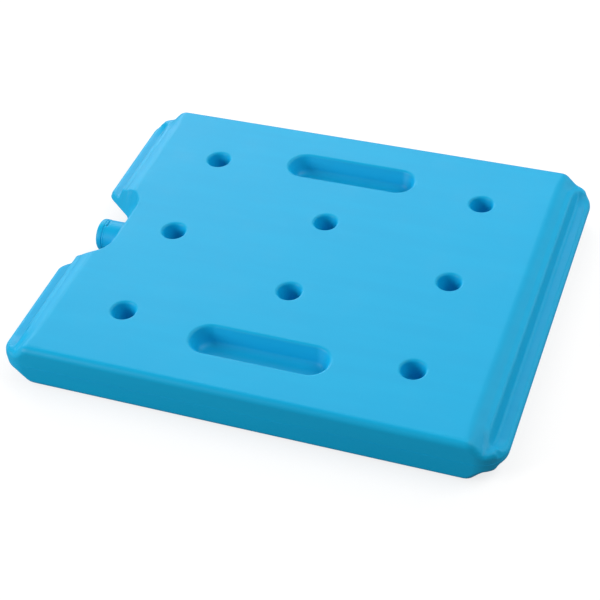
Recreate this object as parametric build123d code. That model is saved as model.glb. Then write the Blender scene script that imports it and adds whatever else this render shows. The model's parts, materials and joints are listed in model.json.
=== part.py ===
"""Reusable ice pack of half gastronorm size: a blow moulded, gel filled cold plate.

X runs along the long side, Y along the short side and Z up. The origin is the centre
of the underside. The two faces are alike: the parting line of the mould lies halfway up,
so each feature of the body is made on the upper half, with the parting plane at Z = 0,
then mirrored, and the whole plate is raised by half its thickness at the end.
"""
from build123d import *
from math import cos, hypot, pi, radians, tan
import os

# Outline of the whole plate
LENGTH = 325.0
WIDTH = 265.0
THICKNESS = 31.0
PLAN_CORNER_RADIUS = 18.5
EDGE_RADIUS = 4.4

# Ends: the face slopes down to a land that falls away to the outer edge
SLOPE_START = 20.0
SLOPE_RUN = 6.7
SLOPE_DROP = 6.5
SLOPE_TOP_RADIUS = 8.0
SLOPE_FOOT_RADIUS = 4.5
LAND_EDGE_HEIGHT = 6.2

# Long scoop that thins the land to a rail, with a short block left at each corner
RAIL_THICKNESS = 6.6
RAIL_NOSE_INSET = 3.1
SCOOP_WALL_INSET = 9.4
SCOOP_END_INSET = 8.0
SCOOP_DRAFT = 12.0
SCOOP_CORNER_RADIUS = 5.0
SCOOP_FLOOR_RADIUS = 3.3
SCOOP_RIM_RADIUS = 2.2

# Notch in the left edge that shelters the filling neck
NOTCH_DEPTH = 23.0
NOTCH_FLOOR_WIDTH = 42.0
NOTCH_SIDE_ANGLE = 39.0
NOTCH_DRAFT = 30.0
NOTCH_FLOOR_RADIUS = 9.0
NOTCH_MOUTH_RADIUS = 14.0
NOTCH_MOUTH_FLARE = 12.0
NOTCH_RIM_RADIUS = 2.5

# Filling neck and the welded plug that closes it
NECK_DIAMETER = 21.6
NECK_LENGTH = 5.2
NECK_ROOT_RADIUS = 1.5
PLUG_HEAD_DIAMETER = 22.0
PLUG_HEAD_THICKNESS = 4.2
PLUG_HEAD_RADIUS = 1.8
PLUG_COLLAR_DIAMETER = 20.2
PLUG_COLLAR_LENGTH = 1.6
PLUG_STEM_DIAMETER = 13.0
PLUG_STEM_LENGTH = 9.0
PLUG_CLEARANCE = 0.1

# Round dimples that tie the two walls of the plate together
DIMPLE_DIAMETER = 16.0
DIMPLE_DRAFT = 12.0
DIMPLE_RIM_RADIUS = 2.0
DIMPLE_FLOOR_RADIUS = 2.5
DIMPLE_WEB = 3.0
DIMPLE_END_INSET = 67.5
DIMPLE_SIDE_INSET = 50.5
DIMPLE_MIDDLE_SPACING = 72.0

# Finger grips
GRIP_LENGTH = 91.0
GRIP_WIDTH = 24.5
GRIP_SIDE_INSET = 41.0
GRIP_WEB = 7.0
GRIP_DRAFT = 22.0
GRIP_RIM_RADIUS = 2.5
GRIP_FLOOR_RADIUS = 5.0

HALF_LENGTH = LENGTH / 2
HALF_WIDTH = WIDTH / 2
HALF_THICKNESS = THICKNESS / 2
HALF_RAIL = RAIL_THICKNESS / 2
SLOPE_TOP_X = HALF_LENGTH - SLOPE_START
SLOPE_FOOT_X = SLOPE_TOP_X + SLOPE_RUN
SLOPE_FOOT_Z = HALF_THICKNESS - SLOPE_DROP
LAND_FALL = (SLOPE_FOOT_Z - LAND_EDGE_HEIGHT) / (HALF_LENGTH - SLOPE_FOOT_X)
NOTCH_FLOOR_X = -HALF_LENGTH + NOTCH_DEPTH
NECK_END_X = NOTCH_FLOOR_X - NECK_LENGTH

# How far cutters reach past what they cut, and how close counts as touching
BEYOND = 20.0
OVERCUT = 1.0
TOUCH = 0.01
NEAR = 0.35


def round_corner(face, x, z, radius):
    """The flat face with the corner nearest to (x, z) rounded."""
    corner = face.vertices().sort_by_distance((x, z, 0))[0]
    return fillet(corner, radius)


def on_outline(edge):
    """Whether this is an edge where a side wall meets the face above it."""
    middle = edge @ 0.5
    is_upright = abs((edge % 0.5).Z) > 1 - TOUCH
    if is_upright or middle.Z < LAND_EDGE_HEIGHT - TOUCH:
        return False
    into_corner_x = max(abs(middle.X) - HALF_LENGTH + PLAN_CORNER_RADIUS, 0)
    into_corner_y = max(abs(middle.Y) - HALF_WIDTH + PLAN_CORNER_RADIUS, 0)
    return abs(hypot(into_corner_x, into_corner_y) - PLAN_CORNER_RADIUS) < NEAR


def upper_block():
    """Upper half of the plain plate, with its sloped ends and all its outer edges rounded."""
    right = [(HALF_LENGTH, 0), (HALF_LENGTH, LAND_EDGE_HEIGHT), (SLOPE_FOOT_X, SLOPE_FOOT_Z),
             (SLOPE_TOP_X, HALF_THICKNESS)]
    left = [(-x, z) for x, z in reversed(right)]
    section = make_face(Polyline(*right, *left, close=True))
    for side in (1, -1):
        section = round_corner(section, side * SLOPE_TOP_X, HALF_THICKNESS, SLOPE_TOP_RADIUS)
        section = round_corner(section, side * SLOPE_FOOT_X, SLOPE_FOOT_Z, SLOPE_FOOT_RADIUS)
    along = extrude(Plane.XZ * section, WIDTH, both=True)
    sides = extrude(RectangleRounded(LENGTH, WIDTH, PLAN_CORNER_RADIUS), HALF_THICKNESS)
    block = along & sides
    return fillet([edge for edge in block.edges() if on_outline(edge)], EDGE_RADIUS)


def above_rail(start_x, end_x):
    """All the space above the flat top and rounded nose of the rail between these places."""
    nose_x = HALF_LENGTH - RAIL_NOSE_INSET
    slant = HALF_RAIL * cos(radians(45))
    top = Line((start_x, HALF_RAIL), (nose_x, HALF_RAIL))
    nose = ThreePointArc((nose_x, HALF_RAIL), (nose_x + slant, slant), (nose_x + HALF_RAIL, 0))
    rest = Polyline((nose_x + HALF_RAIL, 0), (end_x, 0), (end_x, THICKNESS),
                    (start_x, THICKNESS), (start_x, HALF_RAIL))
    return extrude(Plane.XZ * make_face([top, nose, rest]), WIDTH, both=True)


def scoop_cutter():
    """What the scoop at the right end takes from the upper half."""
    lean = HALF_RAIL * tan(radians(SCOOP_DRAFT))
    inner = HALF_LENGTH - SCOOP_WALL_INSET + lean
    outer = HALF_LENGTH + BEYOND
    length = WIDTH - 2 * (SCOOP_END_INSET + lean)
    outline = Pos((inner + outer) / 2, 0) * RectangleRounded(outer - inner, length, SCOOP_CORNER_RADIUS)
    prism = extrude(outline, HALF_THICKNESS, taper=-SCOOP_DRAFT)
    cutter = prism & above_rail(inner - BEYOND, outer + BEYOND)
    floor_rim = []
    for edge in cutter.edges():
        middle = edge @ 0.5
        if abs(middle.Z - HALF_RAIL) < TOUCH and middle.X < HALF_LENGTH - RAIL_NOSE_INSET - TOUCH:
            floor_rim.append(edge)
    return fillet(floor_rim, SCOOP_FLOOR_RADIUS)


def on_scoop_rim(edge):
    """Whether this is an edge where the wall of a scoop meets the land."""
    middle = edge @ 0.5
    x = abs(middle.X)
    inside_scoop = x > SLOPE_FOOT_X and abs(middle.Y) < HALF_WIDTH - SCOOP_END_INSET / 2
    land_height = SLOPE_FOOT_Z - (x - SLOPE_FOOT_X) * LAND_FALL
    return inside_scoop and middle.Z > HALF_RAIL + NEAR and abs(middle.Z - land_height) < NEAR


def notch_cutter():
    """What the notch takes from the upper half: a funnel that widens upwards."""
    floor_y = NOTCH_FLOOR_WIDTH / 2
    mouth_x = -HALF_LENGTH
    mouth_y = floor_y + NOTCH_DEPTH * tan(radians(NOTCH_SIDE_ANGLE))
    flare_x = mouth_x - BEYOND * tan(radians(NOTCH_MOUTH_FLARE))
    flare_y = mouth_y + BEYOND
    far_x = mouth_x - 2 * BEYOND
    upper = [(NOTCH_FLOOR_X, floor_y), (mouth_x, mouth_y), (flare_x, flare_y), (far_x, flare_y)]
    lower = [(x, -y) for x, y in reversed(upper)]
    outline = make_face(Polyline(*upper, *lower, close=True))
    for side in (1, -1):
        outline = round_corner(outline, NOTCH_FLOOR_X, side * floor_y, NOTCH_FLOOR_RADIUS)
        outline = round_corner(outline, mouth_x, side * mouth_y, NOTCH_MOUTH_RADIUS)
    return extrude(outline, HALF_THICKNESS + OVERCUT, taper=-NOTCH_DRAFT)


def lies_on(shape, point):
    """Whether the point lies on a face of the shape."""
    place = Vertex(point.X, point.Y, point.Z)
    return min(face.distance_to(place) for face in shape.faces()) < TOUCH


def cut_notch(body):
    """The body with the notch cut and the rim of the notch rounded."""
    cutter = notch_cutter()
    notched = body - cutter
    rim = []
    for edge in notched.edges():
        middle = edge @ 0.5
        in_reach = middle.X < NOTCH_FLOOR_X + HALF_THICKNESS and middle.Z > TOUCH
        if in_reach and lies_on(cutter, middle) and lies_on(body, middle):
            rim.append(edge)
    return fillet(rim, NOTCH_RIM_RADIUS)


def pocket_cutter(length, width, draft, web, floor_radius):
    """A pocket for the middle of the top face, with a mouth of this length and width."""
    floor_z = web / 2
    rise = HALF_THICKNESS - floor_z
    lean = rise * tan(radians(draft))
    if length > width:
        floor = SlotOverall(length - 2 * lean, width - 2 * lean)
    else:
        floor = Circle(width / 2 - lean)
    cutter = extrude(Pos(0, 0, floor_z) * floor, rise + OVERCUT, taper=-draft)
    floor_rim = cutter.faces().sort_by(Axis.Z)[0].edges()
    return fillet(floor_rim, floor_radius)


def cut_pockets(body, cutter, places, rim_length, rim_radius):
    """The body with a pocket cut at each place and its rim, of about this length, rounded."""
    for x, y in places:
        body -= Pos(x, y) * cutter
    top = body.faces().sort_by(Axis.Z)[-1]
    rims = []
    for outline in top.inner_wires():
        if abs(outline.length - rim_length) < rim_length * NEAR:
            rims.extend(outline.edges())
    return fillet(rims, rim_radius)


def cut_dimples(body):
    """The body with its dimples: three along each end and two in the middle."""
    column = HALF_LENGTH - DIMPLE_END_INSET
    row = HALF_WIDTH - DIMPLE_SIDE_INSET
    places = [(x, y) for x in (-column, column) for y in (-row, 0, row)]
    places += [(0, DIMPLE_MIDDLE_SPACING / 2), (0, -DIMPLE_MIDDLE_SPACING / 2)]
    cutter = pocket_cutter(DIMPLE_DIAMETER, DIMPLE_DIAMETER, DIMPLE_DRAFT, DIMPLE_WEB, DIMPLE_FLOOR_RADIUS)
    return cut_pockets(body, cutter, places, pi * DIMPLE_DIAMETER, DIMPLE_RIM_RADIUS)


def cut_grips(body):
    """The body with its two finger grips."""
    row = HALF_WIDTH - GRIP_SIDE_INSET
    cutter = pocket_cutter(GRIP_LENGTH, GRIP_WIDTH, GRIP_DRAFT, GRIP_WEB, GRIP_FLOOR_RADIUS)
    rim_length = 2 * (GRIP_LENGTH - GRIP_WIDTH) + pi * GRIP_WIDTH
    return cut_pockets(body, cutter, [(0, row), (0, -row)], rim_length, GRIP_RIM_RADIUS)


def upper_half():
    """Upper half of the pack body, without its filling neck."""
    scoop = scoop_cutter()
    body = upper_block() - scoop - mirror(scoop, about=Plane.YZ)
    body = fillet([edge for edge in body.edges() if on_scoop_rim(edge)], SCOOP_RIM_RADIUS)
    return cut_grips(cut_dimples(cut_notch(body)))


def along_x(diameter, start_x, length):
    """A round bar on the X axis that runs from start_x towards the left for this length."""
    return Pos(start_x - length / 2, 0, 0) * Rot(0, 90, 0) * Cylinder(diameter / 2, length)


def pack_body():
    """The whole blow moulded body with its filling neck, centred on the parting plane."""
    upper = upper_half()
    body = upper + mirror(upper, about=Plane.XY)
    body += along_x(NECK_DIAMETER, NOTCH_FLOOR_X + BEYOND, BEYOND + NECK_LENGTH)
    neck_root = []
    for edge in body.edges():
        middle = edge @ 0.5
        on_neck = abs(hypot(middle.Y, middle.Z) - NECK_DIAMETER / 2) < TOUCH
        if on_neck and NOTCH_FLOOR_X - TOUCH < middle.X < NOTCH_FLOOR_X + HALF_THICKNESS:
            neck_root.append(edge)
    body = fillet(neck_root, NECK_ROOT_RADIUS)
    bore_depth = PLUG_STEM_LENGTH + PLUG_CLEARANCE
    bore = along_x(PLUG_STEM_DIAMETER + 2 * PLUG_CLEARANCE, NECK_END_X + bore_depth, bore_depth + OVERCUT)
    return body - bore


def filler_plug():
    """The plug: a stem inside the neck, a collar that seats on its end and a round head."""
    stem = along_x(PLUG_STEM_DIAMETER, NECK_END_X + PLUG_STEM_LENGTH, PLUG_STEM_LENGTH + OVERCUT)
    collar = along_x(PLUG_COLLAR_DIAMETER, NECK_END_X, PLUG_COLLAR_LENGTH + OVERCUT)
    head = along_x(PLUG_HEAD_DIAMETER, NECK_END_X - PLUG_COLLAR_LENGTH, PLUG_HEAD_THICKNESS)
    outer_rim = head.edges().sort_by(Axis.X)[0]
    return stem + collar + fillet(outer_rim, PLUG_HEAD_RADIUS)


if __name__ == "__main__":
    os.makedirs("parts", exist_ok=True)
    on_the_ground = Pos(0, 0, HALF_THICKNESS)
    export_step(on_the_ground * pack_body(), "parts/pack_body.step")
    export_step(on_the_ground * filler_plug(), "parts/filler_plug.step")
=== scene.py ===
"""Looks of a reusable ice pack: a blow moulded, gel filled plate with a welded filling plug.

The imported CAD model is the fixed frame: X runs along the long side, Y along the short side
and Z up, in metres, with the origin at the centre of the underside.
"""
import json
import math

import bpy
from bpy.props import FloatProperty, FloatVectorProperty, IntProperty, PointerProperty
from mathutils import Matrix, Vector

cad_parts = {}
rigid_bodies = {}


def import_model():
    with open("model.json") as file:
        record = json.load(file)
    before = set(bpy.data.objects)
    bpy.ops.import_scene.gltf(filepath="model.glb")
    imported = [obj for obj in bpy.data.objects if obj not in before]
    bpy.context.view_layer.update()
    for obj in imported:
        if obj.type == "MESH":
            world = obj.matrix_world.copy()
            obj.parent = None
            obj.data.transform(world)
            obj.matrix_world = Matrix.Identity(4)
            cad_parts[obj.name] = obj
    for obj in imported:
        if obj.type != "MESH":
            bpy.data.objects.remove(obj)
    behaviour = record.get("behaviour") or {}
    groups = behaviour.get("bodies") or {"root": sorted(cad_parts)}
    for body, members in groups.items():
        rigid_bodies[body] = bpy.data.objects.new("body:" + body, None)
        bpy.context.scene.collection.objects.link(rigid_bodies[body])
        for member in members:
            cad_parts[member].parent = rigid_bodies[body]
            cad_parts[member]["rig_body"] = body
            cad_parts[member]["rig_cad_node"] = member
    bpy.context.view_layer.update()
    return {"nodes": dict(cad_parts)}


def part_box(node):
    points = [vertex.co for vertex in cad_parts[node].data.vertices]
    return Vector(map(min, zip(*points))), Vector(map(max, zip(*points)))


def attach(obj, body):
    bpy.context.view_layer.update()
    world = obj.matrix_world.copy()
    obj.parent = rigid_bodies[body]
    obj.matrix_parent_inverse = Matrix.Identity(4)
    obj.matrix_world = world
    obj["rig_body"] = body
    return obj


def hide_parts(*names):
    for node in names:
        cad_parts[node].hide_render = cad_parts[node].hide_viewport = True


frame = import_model()

bl_info = {
    "name": "Reusable ice pack",
    "version": (1, 0, 0),
    "blender": (4, 5, 0),
    "location": "View3D > Sidebar > Ice pack",
    "description": "Shell, small parts, finishes and studio of a blow moulded ice pack",
    "category": "Object",
}

MM = 0.001
BODY = "root"
SHELL_NODE = "pack_body"
PLUG_NODE = "filler_plug"

SHELL_LOW, SHELL_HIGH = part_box(SHELL_NODE)
PLUG_LOW, PLUG_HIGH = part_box(PLUG_NODE)
PARTING_HEIGHT = (SHELL_LOW.z + SHELL_HIGH.z) / 2
HALF_LENGTH = SHELL_HIGH.x
HALF_WIDTH = SHELL_HIGH.y
HALF_THICKNESS = SHELL_HIGH.z - PARTING_HEIGHT
PLUG_RADIUS = (PLUG_HIGH.z - PLUG_LOW.z) / 2

MERGE_DISTANCE = 0.005 * MM
PLATE_CORNER_RADIUS = 18.5 * MM

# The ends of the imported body, as distances from its middle and heights above the parting line.
RAIL_HEIGHT = 3.3 * MM
RAIL_NOSE_INSET = 3.1 * MM
PACKED_FLAT = 130 * MM
PACKED_SLOPE_START = 142.5 * MM
PACKED_SLOPE_FOOT = (149.2 * MM, 9.0 * MM)
PACKED_RIM = (152.11 * MM, 8.39 * MM)
PACKED_WALL_FOOT = 153.1 * MM
PACKED_BLOCK_EDGE_HEIGHT = 6.2 * MM
PACKED_RADII = (8 * MM, 4.5 * MM, 2.2 * MM, 3.3 * MM)
BLOCK_SLOPE_FOOT = 149.8 * MM

# The rows of points cut across the ends: the first place, the step and the number of them.
SLOPE_ROWS = (137.6 * MM, 0.8 * MM, 16)
WALL_ROWS = (150.6 * MM, 0.45 * MM, 13)
CORNER_ROWS = (110 * MM, 2 * MM, 11)

# Where the easing and the softening reach, from the middle of the plate.
EASE_START = 131 * MM
SEAM_CLEARANCE = 0.02 * MM
NECK_HALF_WIDTH = 12.5 * MM
CORNER_BLEND = (112 * MM, 126 * MM)
RAMP_BLEND = (113 * MM, 125.5 * MM)
RAMP_START = 148 * MM
RAMP_EDGE_BLEND = (0.5 * MM, 3.3 * MM)
WALL_BLEND = (0.3, 0.8)
SOFT_SLOPE = (134.5 * MM, 148.7 * MM)
SOFT_SLOPE_HEIGHT = 9 * MM
SOFT_SLOPE_SIDE_TILT = 0.25
SOFT_SLOPE_PASSES = 4
SOFT_CORNER_X = 148.5 * MM
SOFT_CORNER_Y = 110 * MM
SOFT_CORNER_HEIGHT = 2.2 * MM
SOFT_CORNER_INSET = 1.2 * MM
SOFT_CORNER_PASSES = 20
ARC_STEPS = 12

# The finishes: widths of their patterns, and the noise values between which each one fades in.
STREAK_STRETCH = (0.12, 1.0, 1.0)
STREAK_WIDTH = 9 * MM
STREAK_RANGE = (0.3, 0.75)
RUBBED_WIDTH = 24 * MM
RUBBED_RANGE = (0.46, 0.72)
PLUG_GRAIN_WIDTH = 0.5 * MM
PLUG_GRAIN_HEIGHT = 0.004 * MM
PLUG_FLOW_WIDTH = 5 * MM
PLUG_FLOW_HEIGHT = 0.03 * MM
PLUG_FLOW_RANGE = (0.3, 0.7)
PLASTIC_IOR = 1.5

# The plug's recess, from its rim to the boss in its middle.
RECESS_RIM_WIDTH = 2.4 * MM
RECESS_LIP = (0.5 * MM, 0.25 * MM)
RECESS_WALL_WIDTH = 0.5 * MM
RECESS_FILLET_WIDTH = 0.4 * MM
RECESS_FLOOR_WIDTH = 3.2 * MM
BOSS_WALL = (0.3 * MM, 0.35 * MM)
BOSS_TOP = (0.4 * MM, 0.05 * MM)
STEM_CHAMFER = (0.8 * MM, 0.4 * MM)
RIB_WIDTH = 1.1 * MM
RIB_ROUNDING = 0.3 * MM
BEAD_SINK = 0.55 * MM
BEAD_PLACE = 0.65
BEAD_LUMP_WIDTH = 2.2 * MM


class ShellSettings(bpy.types.PropertyGroup):
    """Sizes and colours of the moulded shell."""
    colour: FloatVectorProperty(
        name="Colour", description="Colour of the polyethylene shell",
        subtype="COLOR", size=3, min=0, max=1, default=(0.0, 0.383, 0.68))
    streak_colour: FloatVectorProperty(
        name="Streak colour", description="Colour of the faint streaks where the pigment is thinner",
        subtype="COLOR", size=3, min=0, max=1, default=(0.0, 0.398, 0.695))
    roughness: FloatProperty(
        name="Roughness", description="How matt the moulded surface is",
        subtype="FACTOR", min=0, max=1, default=0.46)
    sheen: FloatProperty(
        name="Specular level", description="Strength of the gloss on the surface",
        subtype="FACTOR", min=0, max=1, default=0.22)
    grain_size: FloatProperty(
        name="Grain size", description="Width of one grain of the blasted mould texture",
        subtype="DISTANCE", unit="LENGTH", min=0.1 * MM, default=0.9 * MM)
    grain_height: FloatProperty(
        name="Grain height", description="Height of the blasted mould texture",
        subtype="DISTANCE", unit="LENGTH", min=0, default=0.006 * MM)
    wave_size: FloatProperty(
        name="Wave size", description="Width of one of the slow waves in the thin moulded walls",
        subtype="DISTANCE", unit="LENGTH", min=MM, default=70 * MM)
    wave_height: FloatProperty(
        name="Wave height", description="Height of the slow waves in the thin moulded walls",
        subtype="DISTANCE", unit="LENGTH", min=0, default=0.12 * MM)


class EndSettings(bpy.types.PropertyGroup):
    """Sizes of the slope, the land and the wall above the rail at each end, as the photograph shows them."""
    slope_start: FloatProperty(
        name="Slope start", description="Distance from the outer edge to where the slope begins",
        subtype="DISTANCE", unit="LENGTH", min=0, default=22.3 * MM)
    slope_foot: FloatProperty(
        name="Slope foot", description="Distance from the outer edge to the foot of the slope",
        subtype="DISTANCE", unit="LENGTH", min=0, default=16.2 * MM)
    slope_drop: FloatProperty(
        name="Slope drop", description="How far the slope falls",
        subtype="DISTANCE", unit="LENGTH", min=0, default=3.1 * MM)
    rim_inset: FloatProperty(
        name="Rim inset", description="Distance from the outer edge to the rim of the wall",
        subtype="DISTANCE", unit="LENGTH", min=0, default=12.2 * MM)
    rim_drop: FloatProperty(
        name="Rim drop", description="Depth of the rim of the wall below the face",
        subtype="DISTANCE", unit="LENGTH", min=0, default=4.1 * MM)
    foot_inset: FloatProperty(
        name="Wall foot inset", description="Distance from the outer edge to the foot of the wall",
        subtype="DISTANCE", unit="LENGTH", min=0, default=8.7 * MM)
    slope_top_radius: FloatProperty(
        name="Slope top radius", description="Radius of the rounding from the face into the slope",
        subtype="DISTANCE", unit="LENGTH", min=0.1 * MM, default=12 * MM)
    slope_foot_radius: FloatProperty(
        name="Slope foot radius", description="Radius of the rounding from the slope into the land",
        subtype="DISTANCE", unit="LENGTH", min=0.1 * MM, default=8 * MM)
    rim_radius: FloatProperty(
        name="Rim radius", description="Radius of the rounding from the land into the wall",
        subtype="DISTANCE", unit="LENGTH", min=0.1 * MM, default=3 * MM)
    foot_radius: FloatProperty(
        name="Wall foot radius", description="Radius of the fillet from the wall into the rail",
        subtype="DISTANCE", unit="LENGTH", min=0.1 * MM, default=3.2 * MM)
    block_radius: FloatProperty(
        name="Block radius", description="Radius of the fillet from the slope into a corner block",
        subtype="DISTANCE", unit="LENGTH", min=0.1 * MM, default=4 * MM)
    block_height: FloatProperty(
        name="Corner height", description="Height of the corner blocks above the parting line",
        subtype="DISTANCE", unit="LENGTH", min=0, default=7.6 * MM)


class SeamSettings(bpy.types.PropertyGroup):
    """Sizes of the parting seam."""
    height: FloatProperty(
        name="Height", description="How far the trimmed bead stands out along the parting line",
        subtype="DISTANCE", unit="LENGTH", min=0.02 * MM, default=0.14 * MM)


class PlugSettings(bpy.types.PropertyGroup):
    """Sizes and colours of the welded filling plug."""
    colour: FloatVectorProperty(
        name="Colour", description="Colour of the plug",
        subtype="COLOR", size=3, min=0, max=1, default=(0.0, 0.42, 0.71))
    head_thickness: FloatProperty(
        name="Head thickness", description="Thickness of the round head",
        subtype="DISTANCE", unit="LENGTH", min=MM, default=4.2 * MM)
    rim_rounding: FloatProperty(
        name="Rim rounding", description="Radius of the rounding around the outer rim of the head",
        subtype="DISTANCE", unit="LENGTH", min=0.1 * MM, default=1.8 * MM)
    inner_rounding: FloatProperty(
        name="Inner rounding", description="Radius of the rounding behind the head",
        subtype="DISTANCE", unit="LENGTH", min=0.05 * MM, default=0.35 * MM)
    recess_depth: FloatProperty(
        name="Recess depth", description="Depth of the round recess in the head",
        subtype="DISTANCE", unit="LENGTH", min=0, default=1.2 * MM)
    rib_count: IntProperty(
        name="Drive ribs", description="How many ribs in the recess the welding head turned",
        min=2, max=12, default=6)
    collar_radius: FloatProperty(
        name="Collar radius", description="Radius of the collar that seats on the end of the neck",
        subtype="DISTANCE", unit="LENGTH", min=MM, default=10.6 * MM)
    collar_length: FloatProperty(
        name="Collar length", description="Length of the collar between the neck and the head",
        subtype="DISTANCE", unit="LENGTH", min=0.1 * MM, default=1.6 * MM)
    stem_radius: FloatProperty(
        name="Stem radius", description="Radius of the stem inside the neck",
        subtype="DISTANCE", unit="LENGTH", min=MM, default=6.5 * MM)
    bead_radius: FloatProperty(
        name="Weld bead radius", description="Radius of the bead that the weld squeezed out",
        subtype="DISTANCE", unit="LENGTH", min=0.1 * MM, default=0.8 * MM)


class StudioSettings(bpy.types.PropertyGroup):
    """The camera, the lamps and the ground."""
    camera_place: FloatVectorProperty(
        name="Camera place", description="Where the camera stands",
        subtype="TRANSLATION", unit="LENGTH", size=3, default=(0.27735, -0.70219, 0.67062))
    camera_right: FloatVectorProperty(
        name="Camera right", description="The direction that points right in the picture",
        subtype="DIRECTION", size=3, default=(0.94221, 0.33073, -0.05352))
    camera_down: FloatVectorProperty(
        name="Camera down", description="The direction that points down in the picture",
        subtype="DIRECTION", size=3, default=(0.18408, -0.64451, -0.74211))
    focal_length: FloatProperty(
        name="Focal length", description="Focal length of the lens, in millimetres on a 36 mm sensor",
        min=1, default=91.072)
    key_power: FloatProperty(
        name="Key power", description="Power of the large soft lamp behind the pack",
        subtype="POWER", unit="POWER", min=0, default=10.2)
    left_power: FloatProperty(
        name="Left power", description="Power of the low lamp behind and to the left",
        subtype="POWER", unit="POWER", min=0, default=9.2)
    right_power: FloatProperty(
        name="Right power", description="Power of the low lamp behind and to the right",
        subtype="POWER", unit="POWER", min=0, default=4.5)
    over_power: FloatProperty(
        name="Overhead power", description="Power of the lamp above the right end",
        subtype="POWER", unit="POWER", min=0, default=12.6)
    front_power: FloatProperty(
        name="Front power", description="Power of the lamp in front and to the left",
        subtype="POWER", unit="POWER", min=0, default=20.0)
    surround_strength: FloatProperty(
        name="Surround strength", description="Strength of the plain light from all around",
        min=0, default=0.28)
    ground_glow: FloatProperty(
        name="Ground glow", description="How far the ground is lit up for the camera alone",
        subtype="FACTOR", min=0, max=1, default=0.75)


class Wire:
    """A socket of a material that is worked with like a number."""

    def __init__(self, graph, socket):
        self.graph = graph
        self.socket = socket

    def __add__(self, other):
        return self.graph.maths("ADD", self, other)

    def __sub__(self, other):
        return self.graph.maths("SUBTRACT", self, other)

    def __rsub__(self, other):
        return self.graph.maths("SUBTRACT", other, self)

    def __mul__(self, other):
        return self.graph.maths("MULTIPLY", self, other)

    __radd__ = __add__
    __rmul__ = __mul__


class Graph:
    """The nodes of one new material, or of the world."""

    def __init__(self, owner):
        owner.use_nodes = True
        self.tree = owner.node_tree
        self.tree.nodes.clear()

    def node(self, kind, settings=None, values=None):
        """A new node of this kind, with its settings made first and its sockets filled by name."""
        made = self.tree.nodes.new(kind)
        for name, value in (settings or {}).items():
            setattr(made, name, value)
        for name, value in (values or {}).items():
            if isinstance(name, int):
                socket = made.inputs[name]
            else:
                socket = next(s for s in made.inputs if s.name == name and s.enabled)
            if isinstance(value, Wire):
                self.tree.links.new(value.socket, socket)
            else:
                socket.default_value = value
        return made

    def out(self, made, name=None):
        """The wire that leaves a node, by name, or else its first one in use."""
        return Wire(self, next(s for s in made.outputs if s.enabled and name in (None, s.name)))

    def maths(self, operation, *values):
        return self.out(self.node("ShaderNodeMath", {"operation": operation}, dict(enumerate(values))))

    def object_place(self):
        return self.out(self.node("ShaderNodeTexCoord"), "Object")

    def stretched(self, place, scale):
        """The same place with each direction scaled, so that a pattern gets longer along a small one."""
        return self.out(self.node("ShaderNodeMapping", {"vector_type": "POINT"}, {"Vector": place, "Scale": scale}))

    def noise(self, place, width, detail=2.0, roughness=0.5):
        """Smooth noise from 0 to 1 whose lumps are about this wide."""
        return self.out(self.node("ShaderNodeTexNoise", {"noise_dimensions": "3D"},
                                  {"Vector": place, "Scale": 1 / width, "Detail": detail, "Roughness": roughness}))

    def between(self, value, low, high):
        """How far the value has gone from low to high, as a smooth step from 0 to 1."""
        return self.out(self.node("ShaderNodeMapRange", {"interpolation_type": "SMOOTHSTEP"},
                                  {"Value": value, "From Min": low, "From Max": high}))

    def mix(self, share, first, second):
        return self.out(self.node("ShaderNodeMix", {"data_type": "RGBA"},
                                  {"Factor": share, "A": first, "B": second}))


def opaque(colour):
    """A colour with its alpha, as a colour socket takes it."""
    return (*colour, 1.0)


def shell_material(settings):
    """Satin polyethylene from a blasted mould, with the slow waves of a thin filled wall."""
    material = bpy.data.materials.new("satin_shell")
    graph = Graph(material)
    place = graph.object_place()
    grain = graph.noise(place, settings.grain_size, detail=3, roughness=0.6)
    waves = graph.noise(place, settings.wave_size, detail=1)
    streaks = graph.noise(graph.stretched(place, STREAK_STRETCH), STREAK_WIDTH, detail=3)
    rubbed = graph.between(graph.noise(place, RUBBED_WIDTH, detail=5, roughness=0.65), *RUBBED_RANGE)
    height = grain * settings.grain_height + waves * settings.wave_height
    bump = graph.node("ShaderNodeBump", None, {"Strength": 1.0, "Distance": 1.0, "Height": height})
    streaked = graph.between(streaks, *STREAK_RANGE)
    colour = graph.mix(streaked, opaque(settings.colour), opaque(settings.streak_colour))
    surface = graph.node("ShaderNodeBsdfPrincipled", {"distribution": "MULTI_GGX"}, {
        "Base Color": colour,
        "Roughness": settings.roughness + 0.03 * grain - 0.05 * rubbed,
        "IOR": PLASTIC_IOR,
        "Specular IOR Level": settings.sheen,
        "Normal": graph.out(bump),
    })
    graph.node("ShaderNodeOutputMaterial", None, {"Surface": graph.out(surface)})
    return material


def plug_material(settings, shell):
    """The injection moulded plug: the same plastic, smoother and a little glossier."""
    material = bpy.data.materials.new("smooth_plug")
    graph = Graph(material)
    place = graph.object_place()
    grain = graph.noise(place, PLUG_GRAIN_WIDTH, detail=2)
    flow = graph.noise(place, PLUG_FLOW_WIDTH, detail=3)
    height = grain * PLUG_GRAIN_HEIGHT + flow * PLUG_FLOW_HEIGHT
    bump = graph.node("ShaderNodeBump", None, {"Strength": 1.0, "Distance": 1.0, "Height": height})
    colour = graph.mix(graph.between(flow, *PLUG_FLOW_RANGE), opaque(settings.colour), opaque(shell.colour))
    surface = graph.node("ShaderNodeBsdfPrincipled", {"distribution": "MULTI_GGX"}, {
        "Base Color": colour,
        "Roughness": shell.roughness - 0.06 + 0.05 * flow,
        "IOR": PLASTIC_IOR,
        "Specular IOR Level": shell.sheen,
        "Normal": graph.out(bump),
    })
    graph.node("ShaderNodeOutputMaterial", None, {"Surface": graph.out(surface)})
    return material


def only(piece):
    """Selects one piece alone and makes it the active one."""
    bpy.ops.object.select_all(action="DESELECT")
    piece.select_set(True)
    bpy.context.view_layer.objects.active = piece


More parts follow.
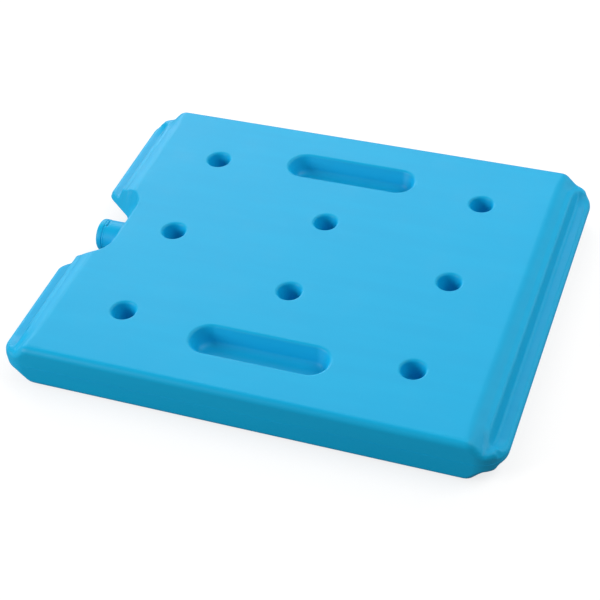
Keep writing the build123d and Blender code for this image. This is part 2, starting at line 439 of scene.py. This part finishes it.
def give(piece, material):
    """Puts one material on a piece."""
    piece.data.materials.clear()
    piece.data.materials.append(material)


def packed_copy(node):
    """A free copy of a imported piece's mesh, whose own mesh stays as it is."""
    only(frame["nodes"][node])
    bpy.ops.object.duplicate(linked=False)
    piece = bpy.context.object
    bpy.ops.object.parent_clear(type="CLEAR_KEEP_TRANSFORM")
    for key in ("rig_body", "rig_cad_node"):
        if key in piece:
            del piece[key]
    return piece


def pick_points(piece, chosen):
    """Selects the points with these indices alone, and goes to edit mode."""
    bpy.ops.object.mode_set(mode="EDIT")
    bpy.ops.mesh.select_mode(type="VERT")
    bpy.ops.mesh.select_all(action="DESELECT")
    bpy.ops.object.mode_set(mode="OBJECT")
    for index in chosen:
        piece.data.vertices[index].select = True
    bpy.ops.object.mode_set(mode="EDIT")


def settle(piece, name):
    """Names a finished piece, puts its place into its mesh and lets it ride on the pack."""
    only(piece)
    bpy.ops.object.transform_apply(location=True, rotation=True, scale=True)
    piece.name = name
    piece.data.name = name
    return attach(piece, BODY)


def rounded_profile(corners, radii):
    """The straights and arcs of an open profile with these inner corners rounded, as point lists."""
    points = [Vector(corner) for corner in corners]
    parts = []
    start = points[0]
    for before, corner, after, radius in zip(points, points[1:], points[2:], radii):
        inwards = (before - corner).normalized()
        outwards = (after - corner).normalized()
        half_turn = (math.pi - inwards.angle(outwards)) / 2
        reach = radius * math.tan(half_turn)
        first = corner + inwards * reach
        last = corner + outwards * reach
        centre = corner + (inwards + outwards).normalized() * radius / math.cos(half_turn)
        parts.append([start, first])
        first_spoke = (first - centre).normalized()
        last_spoke = (last - centre).normalized()
        parts.append([centre + first_spoke.slerp(last_spoke, step / ARC_STEPS) * radius
                      for step in range(ARC_STEPS + 1)])
        start = last
    parts.append([start, points[-1]])
    return parts


def along(part, share):
    """The point this share of the way along a list of evenly spaced points."""
    place = max(0.0, min(share, 1.0)) * (len(part) - 1)
    index = min(int(place), len(part) - 2)
    return part[index].lerp(part[index + 1], place - index)


def height_at(parts, x):
    """Height of a profile at this distance from the middle, the highest where it is steep."""
    points = [point for part in parts for point in part]
    for first, last in zip(points, points[1:]):
        if first.x <= x <= last.x and last.x > first.x:
            return first.y + (last.y - first.y) * (x - first.x) / (last.x - first.x)
    return points[-1].y if x > points[-1].x else points[0].y


def smooth(value, low, high):
    """A smooth step from 0 at low to 1 at high."""
    share = max(0.0, min((value - low) / (high - low), 1.0))
    return share * share * (3 - 2 * share)


class ICEPACK_OT_shape_shell(bpy.types.Operator):
    """Shape the moulded shell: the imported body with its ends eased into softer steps"""
    bl_idname = "icepack.shape_shell"
    bl_label = "Shape shell"

    def execute(self, context):
        shell = packed_copy(SHELL_NODE)
        bpy.ops.mesh.customdata_custom_splitnormals_clear()
        bpy.ops.object.mode_set(mode="EDIT")
        bpy.ops.mesh.select_all(action="SELECT")
        bpy.ops.mesh.remove_doubles(threshold=MERGE_DISTANCE)
        for rows in (SLOPE_ROWS, WALL_ROWS):
            self.cut_rows(rows, Vector((1, 0, 0)))
        self.cut_rows(CORNER_ROWS, Vector((0, 1, 0)))
        bpy.ops.object.mode_set(mode="OBJECT")
        self.ease_ends(shell, context.scene.icepack_ends)
        self.soften(shell)
        bpy.ops.object.shade_smooth_by_angle(angle=math.radians(50))
        even = shell.modifiers.new("even_shading", "WEIGHTED_NORMAL")
        even.keep_sharp = True
        bpy.ops.object.modifier_apply(modifier=even.name)
        give(shell, bpy.data.materials["satin_shell"])
        settle(shell, "moulded_shell")
        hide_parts(SHELL_NODE)
        return {"FINISHED"}

    def cut_rows(self, rows, direction):
        """Cuts rows of points on both sides of the middle, in edit mode."""
        first, step, count = rows
        for row in range(count):
            for side in (1, -1):
                bpy.ops.mesh.select_all(action="SELECT")
                bpy.ops.mesh.bisect(plane_co=direction * side * (first + step * row), plane_no=direction)

    def ease_ends(self, shell, settings):
        """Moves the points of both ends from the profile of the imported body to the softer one."""
        end = HALF_LENGTH - RAIL_NOSE_INSET
        top = HALF_THICKNESS
        packed = rounded_profile(
            [(PACKED_FLAT, top), (PACKED_SLOPE_START, top), PACKED_SLOPE_FOOT, PACKED_RIM,
             (PACKED_WALL_FOOT, RAIL_HEIGHT), (end, RAIL_HEIGHT)],
            PACKED_RADII)
        eased = rounded_profile(
            [(PACKED_FLAT, top), (HALF_LENGTH - settings.slope_start, top),
             (HALF_LENGTH - settings.slope_foot, top - settings.slope_drop),
             (HALF_LENGTH - settings.rim_inset, top - settings.rim_drop),
             (HALF_LENGTH - settings.foot_inset, RAIL_HEIGHT), (end, RAIL_HEIGHT)],
            (settings.slope_top_radius, settings.slope_foot_radius, settings.rim_radius, settings.foot_radius))
        packed_corner = rounded_profile(
            [(PACKED_FLAT, top), (PACKED_SLOPE_START, top), PACKED_SLOPE_FOOT,
             (HALF_LENGTH, PACKED_BLOCK_EDGE_HEIGHT)],
            PACKED_RADII[:2])
        eased_corner = rounded_profile(
            [(PACKED_FLAT, top), (PACKED_SLOPE_START, top), (BLOCK_SLOPE_FOOT, settings.block_height),
             (HALF_LENGTH, settings.block_height)],
            (PACKED_RADII[0], settings.block_radius))
        for vertex in shell.data.vertices:
            x, y, height = self.place(vertex)
            on_neck = vertex.co.x < 0 and y < NECK_HALF_WIDTH
            if x < EASE_START or height < SEAM_CLEARANCE or on_neck:
                continue
            move = self.shift(packed, eased, x, height)
            new_x = x + move.x
            new_height = height + move.y
            corner_height = height * height_at(eased_corner, x) / height_at(packed_corner, x)
            in_corner = smooth(y, *CORNER_BLEND)
            new_x += (x - new_x) * in_corner
            new_height += (corner_height - new_height) * in_corner
            ramp = RAIL_HEIGHT + (settings.block_height - RAIL_HEIGHT) * smooth(y, *RAMP_BLEND)
            if x > RAMP_START and y > RAMP_BLEND[0] and new_height < ramp:
                new_height += (ramp - new_height) * smooth(self.inset(x, y), *RAMP_EDGE_BLEND)
            vertex.co.x = math.copysign(new_x, vertex.co.x)
            vertex.co.z = PARTING_HEIGHT + math.copysign(new_height, vertex.co.z - PARTING_HEIGHT)

    def soften(self, shell):
        """Smooths the slopes and the corner blocks, away from the openings and the outline."""
        side_tilt = [0.0] * len(shell.data.vertices)
        for face in shell.data.polygons:
            for index in face.vertices:
                side_tilt[index] = max(side_tilt[index], abs(face.normal.y))
        slopes = []
        corners = []
        for vertex in shell.data.vertices:
            x, y, height = self.place(vertex)
            on_slope = SOFT_SLOPE[0] < x < SOFT_SLOPE[1] and height > SOFT_SLOPE_HEIGHT
            if on_slope and side_tilt[vertex.index] < SOFT_SLOPE_SIDE_TILT:
                slopes.append(vertex.index)
            on_block = x > SOFT_CORNER_X and y > SOFT_CORNER_Y and height > SOFT_CORNER_HEIGHT
            if on_block and self.inset(x, y) > SOFT_CORNER_INSET:
                corners.append(vertex.index)
        for chosen, passes in ((slopes, SOFT_SLOPE_PASSES), (corners, SOFT_CORNER_PASSES)):
            pick_points(shell, chosen)
            bpy.ops.mesh.vertices_smooth(factor=0.5, repeat=passes)
            bpy.ops.object.mode_set(mode="OBJECT")

    def place(self, vertex):
        """How far a point is from the middle along X and Y, and from the parting line."""
        return abs(vertex.co.x), abs(vertex.co.y), abs(vertex.co.z - PARTING_HEIGHT)

    def inset(self, x, y):
        """How far inside the rounded outline of the plate a place lies."""
        past_x = x - HALF_LENGTH + PLATE_CORNER_RADIUS
        past_y = y - HALF_WIDTH + PLATE_CORNER_RADIUS
        if past_x > 0 and past_y > 0:
            return PLATE_CORNER_RADIUS - math.hypot(past_x, past_y)
        return PLATE_CORNER_RADIUS - max(past_x, past_y)

    def shift(self, packed, eased, x, height):
        """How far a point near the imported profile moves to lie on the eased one."""
        line = x - height
        for old, new in zip(packed, eased):
            first = old[0].x - old[0].y
            last = old[-1].x - old[-1].y
            if first <= line <= last:
                place = self.share_along(old, line)
                move = along(new, place) - along(old, place)
                return move * smooth(height / height_at(packed, x), *WALL_BLEND)
        return Vector((0, 0))

    def share_along(self, part, line):
        """How far along a part of the profile the point with this x less height lies."""
        for index, (first, last) in enumerate(zip(part, part[1:])):
            low = first.x - first.y
            high = last.x - last.y
            if line <= high:
                return (index + (line - low) / (high - low)) / (len(part) - 1)
        return 1.0


class ICEPACK_OT_trim_seam(bpy.types.Operator):
    """Lay the fine trimmed bead where the halves of the mould met"""
    bl_idname = "icepack.trim_seam"
    bl_label = "Trim seam"

    def execute(self, context):
        seam = packed_copy(SHELL_NODE)
        bpy.ops.object.mode_set(mode="EDIT")
        bpy.ops.mesh.select_all(action="SELECT")
        bpy.ops.mesh.remove_doubles(threshold=MERGE_DISTANCE)
        bpy.ops.mesh.bisect(plane_co=(0, 0, PARTING_HEIGHT), plane_no=(0, 0, 1),
                            clear_inner=True, clear_outer=True)
        bpy.ops.object.mode_set(mode="OBJECT")
        self.leave_out_bore(seam)
        bpy.ops.object.convert(target="CURVE")
        seam = context.object
        seam.data.bevel_depth = context.scene.icepack_seam.height
        seam.data.bevel_resolution = 2
        bpy.ops.object.convert(target="MESH")
        seam = context.object
        bpy.ops.object.shade_smooth()
        give(seam, shell_material(context.scene.icepack_shell))
        settle(seam, "parting_seam")
        return {"FINISHED"}

    def leave_out_bore(self, seam):
        """Takes away what lies on the end of the neck and in its bore."""
        half_width = PLUG_RADIUS - 0.4 * MM
        inner_end = PLUG_HIGH.x + 2 * MM
        pick_points(seam, [vertex.index for vertex in seam.data.vertices
                           if abs(vertex.co.y) < half_width and vertex.co.x < inner_end])
        bpy.ops.mesh.delete(type="VERT")
        bpy.ops.object.mode_set(mode="OBJECT")


class ICEPACK_OT_turn_plug(bpy.types.Operator):
    """Shape the filling plug, with its rounded rim, drive recess and ribs"""
    bl_idname = "icepack.turn_plug"
    bl_label = "Turn plug"

    def execute(self, context):
        settings = context.scene.icepack_plug
        plug = self.turn_head(settings)
        ribs = self.set_ribs(settings)
        only(plug)
        for rib in ribs:
            rib.select_set(True)
        bpy.ops.object.join()
        plug = context.object
        give(plug, plug_material(settings, context.scene.icepack_shell))
        settle(plug, "filling_plug")
        bpy.ops.object.shade_smooth_by_angle(angle=math.radians(35))
        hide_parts(PLUG_NODE)
        return {"FINISHED"}

    def turn_head(self, settings):
        """The head, the collar behind it and the stem, from one cylinder.

        The walls of the collar and the stem are insets of no width, which give the same walls as
        an extrusion, but with their faces in the same order each run.
        """
        middle = PLUG_LOW.x + settings.head_thickness / 2
        bpy.ops.mesh.primitive_cylinder_add(
            vertices=96, radius=PLUG_RADIUS, depth=settings.head_thickness,
            location=(middle, 0, PARTING_HEIGHT), rotation=(0, math.radians(90), 0))
        plug = bpy.context.object
        bpy.ops.object.transform_apply(location=True, rotation=True)
        self.pick_rim(plug, PLUG_LOW.x)
        bpy.ops.mesh.bevel(offset=settings.rim_rounding, segments=6, affect="EDGES")
        self.pick_rim(plug, PLUG_LOW.x + settings.head_thickness)
        bpy.ops.mesh.bevel(offset=settings.inner_rounding, segments=5, affect="EDGES")
        self.pick_cap(plug, -1)
        rings = (
            (RECESS_RIM_WIDTH, 0),
            (RECESS_LIP[0], -RECESS_LIP[1]),
            (RECESS_WALL_WIDTH, RECESS_LIP[1] - settings.recess_depth),
            (RECESS_FILLET_WIDTH, 0),
            (RECESS_FLOOR_WIDTH, 0),
            BOSS_WALL,
            BOSS_TOP,
        )
        for width, rise in rings:
            bpy.ops.mesh.inset(thickness=width, depth=rise)
        self.pick_cap(plug, 1)
        bpy.ops.mesh.inset(thickness=PLUG_RADIUS - settings.inner_rounding - settings.collar_radius)
        bpy.ops.mesh.inset(thickness=0, depth=settings.collar_length)
        bpy.ops.mesh.inset(thickness=settings.collar_radius - settings.stem_radius)
        stem = PLUG_HIGH.x - PLUG_LOW.x - settings.head_thickness - settings.collar_length
        bpy.ops.mesh.inset(thickness=0, depth=stem)
        bpy.ops.mesh.inset(thickness=STEM_CHAMFER[0], depth=STEM_CHAMFER[1])
        bpy.ops.object.mode_set(mode="OBJECT")
        return plug

    def pick_rim(self, plug, x):
        """Selects the edges around the end of the head that lies at this x, in edit mode."""
        self.pick(plug)
        for edge in plug.data.edges:
            ends = [plug.data.vertices[index].co.x for index in edge.vertices]
            edge.select = all(abs(end - x) < 0.1 * MM for end in ends)
        bpy.ops.object.mode_set(mode="EDIT")
        bpy.ops.mesh.select_mode(type="EDGE")

    def pick_cap(self, plug, side):
        """Selects the flat round face that looks this way along X, in edit mode."""
        self.pick(plug)
        caps = [face for face in plug.data.polygons if face.normal.x * side > 0.99]
        max(caps, key=lambda face: face.area).select = True
        bpy.ops.object.mode_set(mode="EDIT")
        bpy.ops.mesh.select_mode(type="FACE")

    def pick(self, plug):
        """Deselects all of the mesh, in object mode."""
        if bpy.context.mode != "EDIT_MESH":
            only(plug)
            bpy.ops.object.mode_set(mode="EDIT")
        bpy.ops.mesh.select_all(action="DESELECT")
        bpy.ops.object.mode_set(mode="OBJECT")

    def set_ribs(self, settings):
        """The ribs in the recess, which the welding head turned the plug by."""
        length = PLUG_RADIUS * 0.36
        depth = settings.recess_depth * 0.8
        place = (PLUG_LOW.x + settings.recess_depth - depth / 2, 0, PARTING_HEIGHT + PLUG_RADIUS * 0.5)
        bpy.ops.mesh.primitive_cube_add(size=1, location=place, scale=(depth, RIB_WIDTH, length))
        rib = bpy.context.object
        bpy.ops.object.transform_apply(location=True, rotation=True, scale=True)
        bpy.ops.object.mode_set(mode="EDIT")
        bpy.ops.mesh.select_all(action="SELECT")
        bpy.ops.mesh.bevel(offset=RIB_ROUNDING, segments=2, affect="EDGES")
        bpy.ops.object.mode_set(mode="OBJECT")
        ribs = [rib]
        for count in range(1, settings.rib_count):
            only(rib)
            bpy.ops.object.duplicate(linked=False)
            turned = bpy.context.object
            bpy.ops.object.mode_set(mode="EDIT")
            bpy.ops.mesh.select_all(action="SELECT")
            bpy.ops.transform.rotate(value=math.tau * count / settings.rib_count, orient_axis="X",
                                     center_override=(0, 0, PARTING_HEIGHT))
            bpy.ops.object.mode_set(mode="OBJECT")
            ribs.append(turned)
        return ribs


class ICEPACK_OT_squeeze_bead(bpy.types.Operator):
    """Lay the uneven bead that the weld squeezed out between the plug and the neck"""
    bl_idname = "icepack.squeeze_bead"
    bl_label = "Squeeze bead"

    def execute(self, context):
        settings = context.scene.icepack_plug
        joint = PLUG_LOW.x + settings.head_thickness + settings.collar_length * BEAD_PLACE
        bpy.ops.mesh.primitive_torus_add(
            location=(joint, 0, PARTING_HEIGHT), rotation=(0, math.radians(90), 0),
            major_segments=120, minor_segments=14,
            major_radius=settings.collar_radius - BEAD_SINK, minor_radius=settings.bead_radius)
        bead = context.object
        bpy.ops.object.transform_apply(location=True, rotation=True)
        lumps = bpy.data.textures.new("weld_lumps", type="CLOUDS")
        lumps.noise_scale = BEAD_LUMP_WIDTH
        lumps.noise_depth = 1
        uneven = bead.modifiers.new("uneven", "DISPLACE")
        uneven.texture = lumps
        uneven.texture_coords = "LOCAL"
        uneven.strength = settings.bead_radius * 0.7
        uneven.mid_level = 0.5
        bpy.ops.object.modifier_apply(modifier=uneven.name)
        bpy.ops.object.shade_smooth()
        give(bead, bpy.data.materials["smooth_plug"])
        settle(bead, "weld_bead")
        return {"FINISHED"}


def area_lamp(name, place, size, power):
    """A soft lamp at a place, turned towards the pack."""
    bpy.ops.object.light_add(type="AREA", location=place)
    lamp = bpy.context.object
    lamp.name = name
    lamp.data.shape = "RECTANGLE"
    lamp.data.size, lamp.data.size_y = size
    lamp.data.energy = power
    lamp.rotation_euler = Vector(place).to_track_quat("Z", "Y").to_euler()
    lamp.visible_camera = False


class ICEPACK_OT_set_studio(bpy.types.Operator):
    """Set up the camera, the soft lamps and the pale ground"""
    bl_idname = "icepack.set_studio"
    bl_label = "Set studio"

    def execute(self, context):
        studio = context.scene.icepack_studio
        self.place_camera(context, studio)
        area_lamp("key_lamp", (-0.5, 1.3, 1.0), (1.2, 0.8), studio.key_power)
        area_lamp("left_lamp", (-1.3, 1.25, 0.55), (1.1, 0.8), studio.left_power)
        area_lamp("right_lamp", (1.25, 1.25, 0.55), (1.1, 0.8), studio.right_power)
        area_lamp("over_lamp", (0.9, 0.3, 1.35), (1.0, 1.0), studio.over_power)
        area_lamp("front_lamp", (-1.3, -1.0, 0.6), (0.9, 0.7), studio.front_power)
        self.light_surround(context, studio)
        self.lay_ground(studio)
        return {"FINISHED"}

    def place_camera(self, context, studio):
        right = Vector(studio.camera_right).normalized()
        down = Vector(studio.camera_down).normalized()
        turn = Matrix((right, -down, down.cross(right))).transposed()
        bpy.ops.object.camera_add(location=studio.camera_place, rotation=turn.to_euler())
        camera = context.object
        camera.name = "photo_camera"
        camera.data.sensor_width = 36
        camera.data.lens = studio.focal_length
        camera.data.clip_start = 0.01
        context.scene.camera = camera

    def light_surround(self, context, studio):
        world = bpy.data.worlds.new("pale_surround")
        context.scene.world = world
        graph = Graph(world)
        rays = graph.node("ShaderNodeLightPath")
        seen = graph.out(rays, "Is Camera Ray")
        strength = seen + (1 - seen) * studio.surround_strength
        light = graph.node("ShaderNodeBackground", None, {"Color": (1, 1, 1, 1), "Strength": strength})
        graph.node("ShaderNodeOutputWorld", None, {"Surface": graph.out(light)})

    def lay_ground(self, studio):
        bpy.ops.mesh.primitive_plane_add(size=8, location=(0, 0, -0.02 * MM))
        ground = bpy.context.object
        ground.name = "pale_ground"
        material = bpy.data.materials.new("pale_ground")
        graph = Graph(material)
        seen = graph.out(graph.node("ShaderNodeLightPath"), "Is Camera Ray")
        surface = graph.node("ShaderNodeBsdfPrincipled", None, {
            "Base Color": (0.3, 0.3, 0.3, 1),
            "Roughness": 0.9,
            "Specular IOR Level": 0.0,
            "Emission Color": (1, 1, 1, 1),
            "Emission Strength": seen * studio.ground_glow,
        })
        graph.node("ShaderNodeOutputMaterial", None, {"Surface": graph.out(surface)})
        give(ground, material)


class ICEPACK_PT_panel(bpy.types.Panel):
    """The sidebar panel of the ice pack"""
    bl_label = "Ice pack"
    bl_idname = "ICEPACK_PT_panel"
    bl_space_type = "VIEW_3D"
    bl_region_type = "UI"
    bl_category = "Ice pack"

    def draw(self, context):
        groups = (
            ("Shell", context.scene.icepack_shell, ["icepack.shape_shell"]),
            ("Ends", context.scene.icepack_ends, []),
            ("Seam", context.scene.icepack_seam, ["icepack.trim_seam"]),
            ("Plug", context.scene.icepack_plug, ["icepack.turn_plug", "icepack.squeeze_bead"]),
            ("Studio", context.scene.icepack_studio, ["icepack.set_studio"]),
        )
        for title, settings, operators in groups:
            box = self.layout.box()
            box.label(text=title)
            for name in settings.bl_rna.properties.keys():
                if name not in ("rna_type", "name"):
                    box.prop(settings, name)
            for operator in operators:
                box.operator(operator)


CLASSES = (
    ShellSettings,
    EndSettings,
    SeamSettings,
    PlugSettings,
    StudioSettings,
    ICEPACK_OT_shape_shell,
    ICEPACK_OT_trim_seam,
    ICEPACK_OT_turn_plug,
    ICEPACK_OT_squeeze_bead,
    ICEPACK_OT_set_studio,
    ICEPACK_PT_panel,
)


def register():
    for kind in CLASSES:
        bpy.utils.register_class(kind)
    bpy.types.Scene.icepack_shell = PointerProperty(type=ShellSettings)
    bpy.types.Scene.icepack_ends = PointerProperty(type=EndSettings)
    bpy.types.Scene.icepack_seam = PointerProperty(type=SeamSettings)
    bpy.types.Scene.icepack_plug = PointerProperty(type=PlugSettings)
    bpy.types.Scene.icepack_studio = PointerProperty(type=StudioSettings)


def unregister():
    for name in ("icepack_shell", "icepack_ends", "icepack_seam", "icepack_plug", "icepack_studio"):
        delattr(bpy.types.Scene, name)
    for kind in reversed(CLASSES):
        bpy.utils.unregister_class(kind)


def main():
    register()
    bpy.context.scene.view_settings.view_transform = "Standard"
    bpy.ops.icepack.trim_seam()
    bpy.ops.icepack.shape_shell()
    bpy.ops.icepack.turn_plug()
    bpy.ops.icepack.squeeze_bead()
    bpy.ops.icepack.set_studio()


if __name__ == "__main__":
    main()
